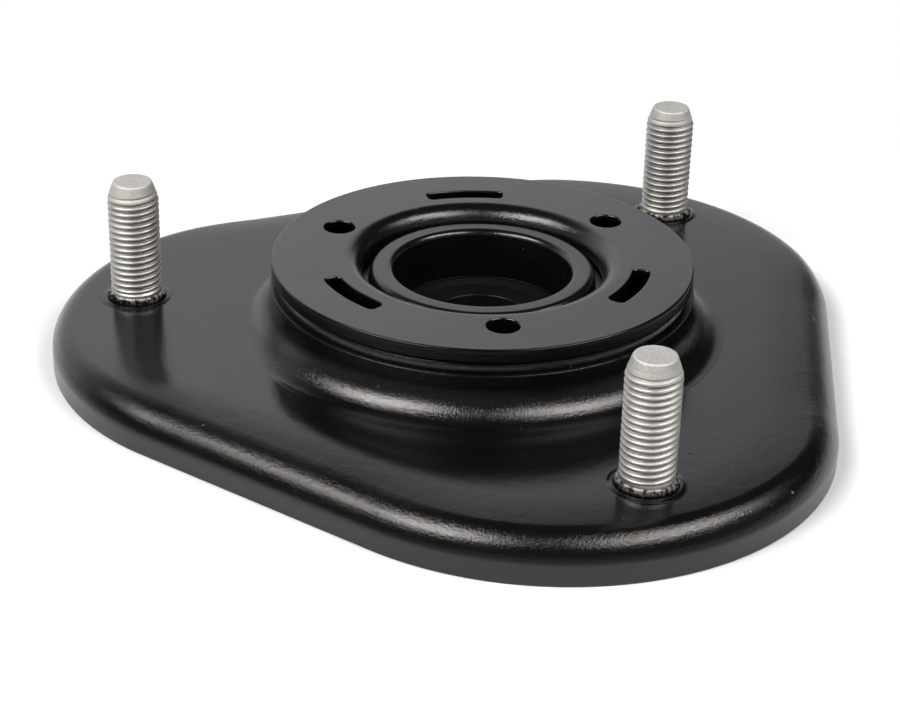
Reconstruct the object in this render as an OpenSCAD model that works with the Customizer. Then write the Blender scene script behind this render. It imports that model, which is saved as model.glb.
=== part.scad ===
// Strut mount: a pressed three-stud plate with a raised hub that holds a top disc,
// a rubber insulator and a sealed ball bearing for the strut rod.
// The origin is on the hub axis at the plate's top face, with the studs along +Z.

/* [Plate] */
// Circle through the three stud centres
stud_pcd = 137; // [132:0.5:142]
// Distance from the hub axis to the tip of each rounded corner
plate_reach = 84; // [82:0.5:92]
// Radius of the plate's rounded corners, seen from above
corner_r = 53.7; // [45:0.1:60]
// Thickness of the pressed sheet
sheet_t = 3; // [2:0.1:4]
// Depth of the turned-down skirt below the plate's top face
skirt_h = 9.5; // [9:0.1:14]
// Outer bend radius between the plate's top and its skirt
edge_r = 6.5; // [5:0.1:8]

/* [Hub] */
// Outer radius of the hub's neck
hub_r = 41; // [39:0.1:46]
// Height of the hub's top edge above the plate
hub_h = 8.6; // [7.5:0.1:14]
// Concave radius where the neck runs out into the plate
hub_fillet = 6; // [4:0.1:7]
// Bevel on the hub's sheared top edge
hub_bevel = 0.4; // [0.2:0.1:0.8]
// Width of the flat ring of sheet outside the fillet
hub_land = 3; // [1:0.1:4]

/* [Studs] */
// Thread diameter of the studs
stud_d = 10; // [8:0.5:12]
// Height of the stud tips above the plate
stud_h = 24.5; // [18:0.5:40]
// Length of the tapered lead at the stud tip
lead_h = 3.4; // [1:0.1:5]
// Diameter of the flat tip
tip_d = 7.3; // [5:0.1:7.8]
// Diameter over the pressed-in serrations
serration_d = 11.4; // [10.5:0.1:13.5]
// Depth of each serration
serration_depth = 0.35; // [0.2:0.05:0.6]
// Number of serrations round the neck
serration_count = 28; // [16:1:36]
// Height of the serrated neck that stands above the plate
neck_h = 1.5; // [0.5:0.1:3]
// Diameter of the stud head under the plate
head_d = 15; // [14.5:0.1:18]
// Thickness of the stud head
head_t = 2.5; // [1.5:0.1:4]
// Width of the rim of sheet raised round each neck
rim_w = 0.9; // [0.4:0.1:1.5]
// Height of that rim
rim_h = 0.4; // [0.2:0.1:0.8]

/* [Top disc] */
// Set-in of the disc's edge from the hub's neck
disc_inset = 0.3; // [0:0.1:1.5]
// Thickness of the disc's sheet
disc_t = 2.6; // [1.6:0.1:3.2]
// Outer radius of the roll that turns the disc's inner edge down
roll_r = 3.5; // [3.3:0.1:4.5]
// Length of the straight collar below the roll
collar_h = 0.9; // [0.4:0.1:1.3]
// Bevel on the sheared outer edge
disc_bevel = 0.4; // [0.2:0.1:0.8]
// Radius of the circle that the holes and slots lie on
vent_r = 30.8; // [29.5:0.1:33]
// Diameter of the round holes
vent_hole_d = 6.2; // [4:0.1:7]
// Turn of the round holes from the studs, in degrees
vent_turn = -17.5; // [-40:0.5:40]
// Width of the curved slots
slot_w = 3.4; // [2.5:0.1:4.5]
// Angle that each slot covers
slot_arc = 29; // [15:1:45]
// Rounding of the slots' corners
slot_round = 1.1; // [0.4:0.1:1.4]

/* [Insulator] */
// Thickness of the steel shell round the rubber
shell_t = 2.4; // [1.6:0.1:3]
// Width of the shell's flange outside its wall
flange_w = 1.92; // [1.82:0.02:3]
// Radius of the flange's rolled outer edge
bead_r = 1.8; // [0.8:0.1:1.9]
// Height of the shell's lower edge above the skirt's rim
shell_lift = 2; // [0.5:0.1:4]
// Outer bend radius of the shell's turned-in lower lip
shell_bend = 3.4; // [3.2:0.1:5]
// Width of the flat on the turned-in lip
shell_lip = 3; // [1:0.1:4]
// Space between the disc and the rubber's highest edge
rubber_gap = 3; // [1:0.1:5]
// Radius of the hollows in the rubber's upper and lower faces
waist_r = 8; // [7:0.1:12]
// Depth of those hollows
waist_depth = 3.5; // [1:0.1:4]

/* [Bearing housing] */
// Radius of the open well above the bearing
well_r = 17.2; // [15:0.1:18.5]
// Width of the raised lip round the well
lip_w = 4.6; // [3.5:0.1:5.5]
// Depth of the lip below the disc's top face
lip_drop = 2.2; // [0.5:0.1:3.5]
// Rounding on the lip's inner edge
lip_inner_round = 1.2; // [0.4:0.1:1.6]
// Rounding on the lip's outer edge
lip_outer_round = 1.4; // [0.4:0.1:1.8]
// Width of the groove between the lip and the disc's collar
groove_w = 1.5; // [0.8:0.1:3]
// Depth of the groove below the disc's top face
groove_depth = 5; // [4.9:0.1:6]
// Thickness of the housing's upper flange
housing_flange_t = 2.4; // [1.5:0.1:3.5]
// Thickness of the wall round the bearing
housing_wall = 2.6; // [1.5:0.1:3.2]
// Height of the housing's lower edge above the skirt's rim
foot_gap = 0.3; // [0.2:0.1:2]
// Thickness of the ring that keeps the bearing in
retainer_t = 1.5; // [1:0.1:2.5]
// Width of that ring
retainer_w = 3; // [2:0.1:4]
// Depth of that ring inside the housing's lower edge
retainer_inset = 0.1; // [0.05:0.05:0.5]

/* [Bearing] */
// Diameter of the bore for the strut rod
rod_bore_d = 17; // [14:0.5:18]
// Outside diameter of the bearing
bearing_d = 42; // [40:0.5:44]
// Width of the bearing
bearing_w = 9; // [8.6:0.1:11]
// Diameter of the balls
ball_d = 5; // [4:0.1:5.2]
// Number of balls
ball_count = 10; // [7:1:12]
// Radial space between the shoulders of the two races
race_gap = 2.9; // [2.4:0.1:3.4]
// Bevel on the bearing's bore and outside edges
race_bevel = 0.5; // [0.3:0.1:0.8]
// Thickness of each seal
seal_t = 0.7; // [0.4:0.1:0.8]
// Depth of each seal below the bearing's face
seal_inset = 0.3; // [0.1:0.05:0.5]
// Depth of the seal's seat in the outer race
seal_seat = 0.8; // [0.4:0.1:1.2]
// Thickness of the cage over the balls
cage_web = 0.6; // [0.4:0.1:0.7]
// Reach of the cage's prongs past the middle of the balls
cage_reach = 1; // [0.4:0.1:1.6]

/* [Clearances] */
// Clearance of pressed and bonded fits
fit_gap = 0.02; // [0.01:0.01:0.05]
// Clearance between the balls and the races
ball_gap = 0.1; // [0.05:0.01:0.15]
// Clearance between each ball and its pocket
pocket_gap = 0.15; // [0.1:0.01:0.25]
// Clearance between the cage and the races
cage_gap = 0.4; // [0.25:0.05:0.5]
// Clearance between the seals and the turning race
seal_gap = 0.25; // [0.15:0.05:0.4]

/* [Hidden] */
$fn = 96;
corner_facets = 72;
edge_facets = 32;
cut = 1;
stud_count = 3;
stud_step = 360 / stud_count;
first_stud = 90;
paint = [0.07, 0.07, 0.08];
inner_paint = [0.05, 0.05, 0.06];
bare_steel = [0.66, 0.66, 0.64];
bright_steel = [0.78, 0.79, 0.8];
rubber_black = [0.03, 0.03, 0.03];
cage_brass = [0.66, 0.53, 0.27];

// Plan of the plate
corner_offset = plate_reach - corner_r;
land_r = hub_r + hub_fillet + hub_land;
panel_hole_r = land_r - hub_land / 2;

// Heights of the stack on the hub
rim_z = -skirt_h;
flange_top = hub_h + shell_t;
disc_top = flange_top + disc_t;
roll_z = disc_top - roll_r;
collar_bottom = roll_z - collar_h;
floor_z = disc_top - groove_depth;
lip_top = disc_top - lip_drop;

// Radii of the disc and of the shell
disc_r = hub_r - disc_inset;
lip_r = well_r + lip_w;
collar_r = lip_r + groove_w;
roll_axis_r = collar_r + roll_r;
shell_outer_r = hub_r - sheet_t - fit_gap;
shell_inner_r = shell_outer_r - shell_t;
flange_r = shell_outer_r + flange_w;
shell_bottom = rim_z + shell_lift;

// Bearing housing and the rubber round it
seat_r = bearing_d / 2;
housing_r = seat_r + housing_wall;
housing_flange_r = max(collar_r + disc_t, housing_r);
housing_bottom = rim_z + foot_gap;
flange_under = floor_z - housing_flange_t;
retainer_z = housing_bottom + retainer_inset;
bearing_z = retainer_z + retainer_t;
bearing_top = bearing_z + bearing_w;
rubber_inner_r = housing_r + fit_gap;
rubber_outer_r = shell_inner_r - fit_gap;
rubber_mid_r = (rubber_inner_r + rubber_outer_r) / 2;
rubber_low = shell_bottom + shell_bend;
rubber_high = flange_top - rubber_gap;
waist_offset = waist_r - waist_depth;

// Ball bearing
bore_r = rod_bore_d / 2;
ball_r = ball_d / 2;
pitch_r = (bore_r + seat_r) / 2;
ball_z = bearing_z + bearing_w / 2;
half_w = bearing_w / 2;
inner_land_r = pitch_r - race_gap / 2;
outer_land_r = pitch_r + race_gap / 2;
seal_seat_r = outer_land_r + seal_seat;
seal_low = half_w - seal_inset - seal_t;
pocket_r = ball_r + pocket_gap;

STUD_NODES = [for (i = [1:stud_count]) str("stud_", i)];
BALL_NODES = [for (i = [1:ball_count]) str("ball_", i)];
FIXED_NODES = ["base_plate", "outer_shell", "top_disc", "insulator", "bearing_housing",
               "bearing_retainer", "outer_race", "inner_race", "ball_cage", "upper_seal", "lower_seal"];

// Section helpers, drawn in the plane of radius and height

// Rectangle between two radii and two heights
module band(r0, r1, z0, z1) {
    translate([r0, z0]) square([r1 - r0, z1 - z0]);
}

// Quarter of a disc about a centre, in the quadrant that turn picks
module quarter_disc(centre, radius, turn) {
    translate(centre) rotate(turn) intersection() {
        circle(r = radius);
        square(radius + cut);
    }
}

// Quarter bend of a sheet about a centre, in the quadrant that turn picks
module quarter_bend(centre, outer, thickness, turn) {
    translate(centre) rotate(turn) difference() {
        intersection() {
            circle(r = outer);
            square(outer + cut);
        }
        circle(r = outer - thickness);
    }
}

// Repeats its children at the studs' angles
module at_studs(turn = 0) {
    for (i = [0:stud_count - 1])
        rotate(first_stud + i * stud_step + turn) children();
}

// Plate

// Section of a rounded-edge form, measured out from a corner's centre
module rounded_section(radius, edge, low, high) {
    band(0, radius - edge, low, high);
    band(radius - edge, radius, low, high - edge);
    quarter_disc([radius - edge, high - edge], edge, 0, $fn = edge_facets);
}

// Solid rounded triangle drawn round three corner pucks
module rounded_triangle(inset, low) {
    hull() at_studs() translate([corner_offset, 0, 0])
        rotate_extrude($fn = corner_facets)
            rounded_section(corner_r - inset, edge_r - inset, low, -inset);
}

// Pressed pan, open below
module panel() {
    difference() {
        rounded_triangle(0, rim_z);
        rounded_triangle(sheet_t, rim_z - cut);
    }
}

// Neck of the hub with the fillet that runs out into the panel
module hub_section() {
    polygon([[hub_r - sheet_t, hub_fillet], [hub_r, hub_fillet], [hub_r, hub_h - hub_bevel],
             [hub_r - hub_bevel, hub_h], [hub_r - sheet_t, hub_h]]);
    quarter_bend([hub_r + hub_fillet, hub_fillet], hub_fillet + sheet_t, sheet_t, 180);
    band(hub_r + hub_fillet, land_r, -sheet_t, 0);
}

module base_plate() {
    color(paint) difference() {
        union() {
            difference() {
                panel();
                translate([0, 0, -sheet_t - cut]) cylinder(r = panel_hole_r, h = sheet_t + 2 * cut);
            }
            rotate_extrude() hub_section();
            at_studs() translate([stud_pcd / 2, 0, 0])
                cylinder(d1 = serration_d + 4 * rim_w, d2 = serration_d + 2 * rim_w, h = rim_h);
        }
        at_studs() translate([stud_pcd / 2, 0, -sheet_t - cut])
            cylinder(r = serration_d / 2 + fit_gap, h = sheet_t + rim_h + 2 * cut);
    }
}

// Studs

// Ring of pressed-in serrations
module serrations(height) {
    tooth = 360 / serration_count;
    linear_extrude(height) polygon([for (i = [0:2 * serration_count - 1])
        (serration_d / 2 - (i % 2) * serration_depth) * [cos(i * tooth / 2), sin(i * tooth / 2)]]);
}

module stud(index) {
    color(bare_steel) rotate(first_stud + (index - 1) * stud_step) translate([stud_pcd / 2, 0, 0]) {
        translate([0, 0, -sheet_t - head_t]) cylinder(d = head_d, h = head_t);
        translate([0, 0, -sheet_t]) serrations(sheet_t + neck_h);
        translate([0, 0, neck_h]) cylinder(d = stud_d, h = stud_h - lead_h - neck_h);
        translate([0, 0, stud_h - lead_h]) cylinder(d1 = stud_d, d2 = tip_d, h = lead_h);
    }
}

// Top disc

// One rounded end of a slot, about the radial line through its corners' centres
module slot_end(low, depth) {
    inner_centre = vent_r - slot_w / 2 + slot_round;
    outer_centre = vent_r + slot_w / 2 - slot_round;
    translate([inner_centre, -slot_round, low]) cube([outer_centre - inner_centre, 2 * slot_round, depth]);
    translate([inner_centre, 0, low]) cylinder(r = slot_round, h = depth);
    translate([outer_centre, 0, low]) cylinder(r = slot_round, h = depth);
}

// One curved slot, cut right through the disc
module vent_slot() {
    low = flange_top - cut;
    depth = disc_t + 2 * cut;
    half_turn = slot_arc / 2 - asin(slot_round / vent_r);
    rotate(-half_turn) rotate_extrude(angle = 2 * half_turn)
        band(vent_r - slot_w / 2, vent_r + slot_w / 2, low, low + depth);
    rotate(-half_turn) slot_end(low, depth);
    rotate(half_turn) slot_end(low, depth);
}

module top_disc() {
    color(paint) difference() {
        rotate_extrude() {
            polygon([[roll_axis_r, flange_top], [disc_r, flange_top], [disc_r, disc_top - disc_bevel],
                     [disc_r - disc_bevel, disc_top], [roll_axis_r, disc_top]]);
            quarter_bend([roll_axis_r, roll_z], roll_r, disc_t, 90);
            band(collar_r, collar_r + disc_t, collar_bottom, roll_z);
        }
        at_studs(vent_turn) translate([vent_r, 0, flange_top - cut])
            cylinder(d = vent_hole_d, h = disc_t + 2 * cut);
        at_studs(vent_turn + stud_step / 2) vent_slot();
    }
}

// Rubber insulator and the shell round it

module outer_shell() {
    lip_axis_r = shell_outer_r - shell_bend;
    color(inner_paint) rotate_extrude() {
        band(lip_axis_r - shell_lip, lip_axis_r, shell_bottom, shell_bottom + shell_t);
        quarter_bend([lip_axis_r, shell_bottom + shell_bend], shell_bend, shell_t, -90);
        band(shell_inner_r, shell_outer_r, shell_bottom + shell_bend, hub_h);
        quarter_disc([shell_outer_r, hub_h], shell_t, 90);
        band(shell_outer_r, flange_r - bead_r, hub_h, flange_top);
        band(flange_r - bead_r, flange_r, hub_h, flange_top - bead_r);
        quarter_disc([flange_r - bead_r, flange_top - bead_r], bead_r, 0);
    }
}

module insulator() {
    color(rubber_black) rotate_extrude() difference() {
        band(rubber_inner_r, rubber_outer_r, rubber_low, rubber_high);
        band(0, housing_flange_r + fit_gap, flange_under - fit_gap, rubber_high + cut);
        translate([rubber_mid_r, rubber_low - waist_offset]) circle(r = waist_r);
        translate([rubber_mid_r, rubber_high + waist_offset]) circle(r = waist_r);
    }
}

// Bearing housing

// Raised lip with both of its upper edges rounded
module lip_section() {
    inner_axis = [well_r + lip_inner_round, lip_top - lip_inner_round];
    outer_axis = [lip_r - lip_outer_round, lip_top - lip_outer_round];
    band(well_r, inner_axis[0], floor_z, inner_axis[1]);
    quarter_disc(inner_axis, lip_inner_round, 90);
    band(inner_axis[0], outer_axis[0], floor_z, lip_top);
    quarter_disc(outer_axis, lip_outer_round, 0);
    band(outer_axis[0], lip_r, floor_z, outer_axis[1]);
}

module bearing_housing() {
    color(inner_paint) rotate_extrude() {
        lip_section();
        band(well_r, housing_flange_r, flange_under, floor_z);
        band(well_r, housing_r, bearing_top, flange_under);
        band(seat_r, housing_r, housing_bottom, bearing_top);
    }
}

module bearing_retainer() {
    color(bare_steel) rotate_extrude()
        band(seat_r - retainer_w, seat_r - fit_gap, retainer_z, bearing_z);
}

// Ball bearing

// Half of a race's section, cut square, with bevels on the side that fits a shaft or seat
module race_section(fit_r, land_r) {
    side = sign(land_r - fit_r);
    translate([0, ball_z]) polygon([
        [land_r, -half_w], [fit_r + side * race_bevel, -half_w], [fit_r, race_bevel - half_w],
        [fit_r, half_w - race_bevel], [fit_r + side * race_bevel, half_w], [land_r, half_w]]);
}

// Track that the balls run in
module ball_track() {
    translate([pitch_r, ball_z]) circle(r = ball_r + ball_gap);
}

module inner_race() {
    color(bright_steel) rotate_extrude() difference() {
        race_section(bore_r, inner_land_r);
        ball_track();
    }
}

module outer_race() {
    color(bright_steel) rotate_extrude() difference() {
        race_section(seat_r - fit_gap, outer_land_r);
        ball_track();
        band(0, seal_seat_r, ball_z + seal_low, ball_z + half_w + cut);
        band(0, seal_seat_r, ball_z - half_w - cut, ball_z - seal_low);
    }
}

// Seal that sits in the outer race, on the upper or the lower side
module seal(side) {
    color(rubber_black) translate([0, 0, ball_z]) mirror([0, 0, side > 0 ? 0 : 1]) rotate_extrude()
        band(inner_land_r + seal_gap, seal_seat_r - fit_gap, seal_low, seal_low + seal_t);
}

module upper_seal() {
    seal(1);
}

module lower_seal() {
    seal(-1);
}

// Puts its children at one ball's place on the pitch circle
module at_ball(index) {
    rotate((index - 1) * 360 / ball_count) translate([pitch_r, 0, ball_z]) children();
}

module ball_cage() {
    color(cage_brass) difference() {
        rotate_extrude() band(inner_land_r + cage_gap, outer_land_r - cage_gap,
                              ball_z - cage_reach, ball_z + pocket_r + cage_web);
        for (i = [1:ball_count]) at_ball(i) sphere(r = pocket_r);
    }
}

module ball(index) {
    color(bright_steel) at_ball(index) sphere(r = ball_r);
}

base_plate();
outer_shell();
top_disc();
insulator();
bearing_housing();
bearing_retainer();
outer_race();
inner_race();
ball_cage();
upper_seal();
lower_seal();
for (i = [1:stud_count]) stud(i);
for (i = [1:ball_count]) ball(i);
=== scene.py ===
"""Looks of the strut mount: a black pressed plate with three threaded studs, a slotted disc
on its hub, and the rubber ring and ball bearing inside. Sizes are in millimetres until
a mesh is made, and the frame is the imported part's own."""
import math

import bmesh
import bpy
import numpy as np
from mathutils import Matrix, Vector, geometry


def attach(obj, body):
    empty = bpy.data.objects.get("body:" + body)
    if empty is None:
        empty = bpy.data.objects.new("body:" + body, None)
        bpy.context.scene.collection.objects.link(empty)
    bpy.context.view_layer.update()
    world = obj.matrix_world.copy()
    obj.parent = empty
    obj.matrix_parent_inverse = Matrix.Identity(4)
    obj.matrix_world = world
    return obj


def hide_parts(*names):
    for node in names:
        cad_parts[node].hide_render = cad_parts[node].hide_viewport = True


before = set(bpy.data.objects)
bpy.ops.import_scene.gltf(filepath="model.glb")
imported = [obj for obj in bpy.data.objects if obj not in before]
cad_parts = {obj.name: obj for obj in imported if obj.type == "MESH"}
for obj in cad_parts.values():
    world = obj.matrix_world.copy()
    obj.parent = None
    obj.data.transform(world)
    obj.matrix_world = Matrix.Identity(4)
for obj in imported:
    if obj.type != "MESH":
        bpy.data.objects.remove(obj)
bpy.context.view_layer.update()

MM = 0.001

# Plate
STUD_CIRCLE_R = 68.5
CORNER_OFFSET = 30.3
CORNER_R = 53.7
SHEET_T = 3.0
SKIRT_H = 9.5
CORNER_BEND = 5.0
SIDE_BEND_RUN = 6.2
SIDE_BEND_DROP = 5.0
SAG_RUN = 15.0
CORNER_SAG = 0.065
SIDE_SAG = 0.14
SIDE_FROM = 22.0
SIDE_EASING = 20.0
SHEAR_EDGE = 0.35
SHEAR_BREAK = 0.3 * SHEAR_EDGE
PLATE_SPOKES = 480
SAG_STEPS = 12
BEND_STEPS = 30
UNDER_BEND_STEPS = 14

# Hub
HUB_R = 41.0
HUB_H = 8.6
HUB_FILLET = 6.0
HUB_BEVEL = 0.4
HUB_INNER_BEVEL = 0.2
DIE_LINE_W = 0.35
DIE_LINE_DEPTH = 0.05
FILLET_STEPS = 30
UNDER_FILLET_STEPS = 24
BEVEL_STEPS = 5

# Thread of the studs
STUD_COUNT = 3
FIRST_STUD = 90.0
STUD_STEP = 360 / STUD_COUNT
STUD_SPIN = 1.9
STUD_H = 24.5
THREAD_R = 4.98
THREAD_PITCH = 1.25
THREAD_DEPTH = 0.62
THREAD_START = 0.9
THREAD_FLANK = (0.08, 0.86)
THREAD_RUN_OUT = (0.9, 1.9)
THREAD_GRID = (73, 330)
THREAD_SEAM = 0.002
LEAD_H = 3.4
LEAD_EASING = 0.25
LEAD_ROOT_SHARE = 0.4
TIP_R = 3.75
TIP_EASING = 0.4
TOP_EASING = 0.5
FOOT_FLARE = 0.1

# Necks and heads of the studs, and the sheet's swelling round each neck
NECK_R = 5.3
NECK_H = 1.5
NECK_ROUND = 0.35
NECK_SIDES = 96
TOOTH_TIP_R = 5.68
TOOTH_R = 0.48
TOOTH_COUNT = 28
TOOTH_SINK = 0.25
SHARP_ANGLE = 35.0
HEAD_R = 7.5
HEAD_T = 2.5
HEAD_ROUND = 0.4
HEAD_TOP_ROUND = 0.2
RIM_OUTER_R = 7.1
RIM_TOP_R = 6.0
RIM_INNER_R = NECK_R + 0.1
RIM_H = 0.22
RIM_SINK = 0.02
RIM_ROOT = -0.4
RIM_STEPS = 12
RIM_SIDES = 72

# Disc on the hub
DISC_R = 40.7
DISC_TOP = 13.6
DISC_UNDER = 11.0
DISC_EDGE_ROUND = 0.4
DISC_UNDER_ROUND = 0.2
ROLL_R = 3.5
ROLL_AXIS = (26.8, 10.1)
COLLAR_R = 23.3
COLLAR_BOTTOM = 9.2
COLLAR_ROUND = 0.25
VENT_R = 30.8
VENT_HOLE_R = 3.1
VENT_TURN = -17.5
VENT_SEAM = 0.003
SLOT_W = 3.4
SLOT_ARC = 29.0
SLOT_ROUND = 1.1
PUNCH_ROUND = 0.28
FLAT_INNER_R = 27.2
FLAT_OUTER_R = 40.1
HOLE_SIDES = 48
SLOT_STEPS = 20
SLOT_CORNER_STEPS = 8
PUNCH_STEPS = 4

# Shell, housing, rubber and bearing
SHELL_R = 37.98
SHELL_T = 2.4
SHELL_BOTTOM = -7.5
SHELL_FOOT_R = 31.58
FLANGE_R = 39.9
WELL_R = 17.2
LIP_R = 21.8
LIP_TOP = 11.4
GROOVE_FLOOR = 8.6
HOUSING_FLANGE_R = 25.9
HOUSING_FLANGE_UNDER = 6.2
HOUSING_R = 23.6
HOUSING_BOTTOM = -9.2
SEAT_R = 21.0
HOLLOW_R = 8.0
UPPER_HOLLOW_Z = 12.5
LOWER_HOLLOW_Z = -8.6
RUBBER_GAP = 0.02
BEARING_TOP = 1.4
BEARING_BOTTOM = -7.6
BALL_Z = -3.1
TRACK_AXIS_R = 14.75
TRACK_R = 2.6
TRACK_STEPS = 14
INNER_LAND_R = 13.3
OUTER_LAND_R = 16.2
BORE_R = 8.5
RACE_R = 20.98
RACE_ROUND = 0.5
SEAL_SEAT_R = 17.0
SEAL_IN_R = 13.55
SEAL_OUT_R = 16.98
SEAL_REACH = (3.5, 4.2)
RETAINER_IN_R = 18.0
RETAINER_BOTTOM = -9.1
CUT_ROUND = 0.25
SOFT_ROUND = 0.15
FINE_ROUND = 0.1
SIDES = 240

# Sheen of the paint, as stops of (height, level)
PLATE_SHEEN = [(-9.5, 0.5), (-5.6, 0.5), (-4.8, 0.2), (-3.4, 0.2), (-2.4, 0.56), (-0.9, 0.56),
               (-0.2, 0.5), (0.3, 0.5), (1.0, 0.7), (3.0, 0.7), (4.6, 0.22), (9.0, 0.18)]
HOUSING_SHEEN = [(6.0, 0.08), (9.0, 0.5)]
CUT_EDGE_BAND = (0.28, 0.08)
CUT_EDGE_SHEEN = (0.5, 0.1)
DULL_SHEEN = 0.12

# Camera: angles in degrees, place in metres as the photographer sees it
VIEW_TURN = 34.8
CAMERA_YAW, CAMERA_PITCH, CAMERA_ROLL = -0.85, 26.89, 1.5
CAMERA_PLACE = (0.0, -0.39076, 0.189)
CAMERA_LENS = 88.7
CAMERA_SENSOR = 36.0
CAMERA_CLIP = (0.01, 50.0)

# Lamps: name, direction, direction of the length, length, width, power; in metres and watts
SOFTBOXES = [("left_softbox", (-0.61, -0.405, 0.823), (-0.53, 0.85, 0.0), 0.85, 0.42, 13.2),
             ("right_softbox", (0.57, -0.29, 0.80), (0.53, 0.85, 0.0), 0.90, 0.40, 9.8)]
SOFTBOX_DISTANCE = 1.1
SOFTBOX_COLOUR = (1.0, 0.965, 0.92)

# Walls of the studio, by direction as the photographer sees it
WALL_FACING = (-0.42, 0.91, -0.4)
WALL_SPAN = (0.381, 0.676)
WALL_END = (0.26, 0.44)
WALL_END_DROP = 0.2
WALL_RISE = (0.385, 0.51)
WALL_LEVELS = (0.8, 1.4)
WALL_COLOUR = (1.0, 1.0, 1.06)
ROOM_COLOUR = (0.02, 0.02, 0.022)
GLOW_RISE = (0.30, 0.50)
GLOW_LEVELS = (0.3, 0.02)
GLOW_SIDE = (-0.2, 0.2)

# Floor, by distance from the hub's axis in metres
FLOOR_SIZE = 8.0
FLOOR_SHEET = (0.22, 0.40)
FLOOR_MIRRORED = (0.22, 0.30)
FLOOR_WHITE = (0.105, 0.17)


# Node trees and materials

class Nodes:
    """Short calls for the nodes of one tree."""

    def __init__(self, tree):
        self.tree = tree

    def feed(self, value, socket):
        """Gives a socket a value, or joins it to another node's output."""
        if isinstance(value, bpy.types.NodeSocket):
            self.tree.links.new(value, socket)
        else:
            socket.default_value = value

    def node(self, kind, sockets=None, **settings):
        made = self.tree.nodes.new(kind)
        for key, value in settings.items():
            setattr(made, key, value)
        for key, value in (sockets or {}).items():
            self.feed(value, made.inputs[key])
        return made

    def math(self, operation, *values):
        return self.node("ShaderNodeMath", dict(enumerate(values)), operation=operation).outputs[0]

    def ramp(self, value, low, high, at_low=0.0, at_high=1.0, **settings):
        """Level that goes from one end to the other while the value does, and stays there."""
        sockets = {"Value": value, "From Min": low, "From Max": high,
                   "To Min": at_low, "To Max": at_high}
        return self.node("ShaderNodeMapRange", sockets, **settings).outputs["Result"]

    def mix(self, factor, first, second, **settings):
        """Blend of two colours, each three numbers or another node's output."""
        first, second = ((*c, 1.0) if isinstance(c, tuple) else c for c in (first, second))
        return self.node("ShaderNodeMix", {"Factor": factor, 6: first, 7: second},
                         data_type="RGBA", **settings).outputs[2]


class Shading(Nodes):
    """A material under construction."""

    def __init__(self, name):
        self.material = bpy.data.materials.new(name)
        self.material.use_nodes = True
        super().__init__(self.material.node_tree)
        self.shader = self.tree.nodes["Principled BSDF"]
        self.coords = self.node("ShaderNodeTexCoord").outputs["Object"]

    def noise(self, scale, detail=3.0, roughness=0.55, stretch=None):
        """Cloudy pattern, its scale in repeats a metre."""
        place = self.coords
        if stretch:
            mapping = self.node("ShaderNodeMapping", {"Vector": place, "Scale": stretch})
            place = mapping.outputs["Vector"]
        sockets = {"Vector": place, "Scale": scale, "Detail": detail, "Roughness": roughness}
        return self.node("ShaderNodeTexNoise", sockets).outputs["Fac"]

    def specks(self, scale, size, softness):
        """Small round marks, 1 in the middle of each and 0 between them."""
        cells = self.node("ShaderNodeTexVoronoi", {"Vector": self.coords, "Scale": scale})
        return self.ramp(cells.outputs["Distance"], size, size + softness, 1.0, 0.0)

    def height(self):
        return self.node("ShaderNodeSeparateXYZ", {0: self.coords}).outputs["Z"]

    def rise(self, low, high, at_low=0.0, at_high=1.0):
        """Level that changes between two heights in millimetres."""
        return self.ramp(self.height(), low * MM, high * MM, at_low, at_high)

    def profile(self, stops):
        """Level that follows the height through stops of (millimetres, level)."""
        low, high = stops[0][0], stops[-1][0]
        made = self.node("ShaderNodeValToRGB", {0: self.rise(low, high)})
        elements = made.color_ramp.elements
        while len(elements) < len(stops):
            elements.new(0.5)
        for element, (height, level) in zip(elements, stops):
            element.position = (height - low) / (high - low)
            element.color = (level, level, level, 1.0)
        return made.outputs["Color"]

    def off_axis(self):
        """Distance from the hub's axis."""
        level = self.node("ShaderNodeVectorMath", {0: self.coords, 1: (1.0, 1.0, 0.0)},
                          operation="MULTIPLY")
        length = self.node("ShaderNodeVectorMath", {0: level.outputs[0]}, operation="LENGTH")
        return length.outputs["Value"]

    def attribute(self, name):
        return self.node("ShaderNodeAttribute", attribute_name=name).outputs["Fac"]

    def bump(self, height, strength, depth, under=None):
        """Relief of some millimetres, over another one if there is one."""
        sockets = {"Strength": strength, "Distance": depth * MM, "Height": height}
        if under is not None:
            sockets["Normal"] = under
        return self.node("ShaderNodeBump", sockets).outputs["Normal"]

    def sheen(self, level):
        self.feed(level, self.shader.inputs["Specular IOR Level"])

    def finish(self, colour, roughness, normal=None, metallic=0.0):
        self.feed(colour, self.shader.inputs["Base Color"])
        self.feed(roughness, self.shader.inputs["Roughness"])
        self.feed(metallic, self.shader.inputs["Metallic"])
        if normal is not None:
            self.feed(normal, self.shader.inputs["Normal"])
        return self.material


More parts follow.
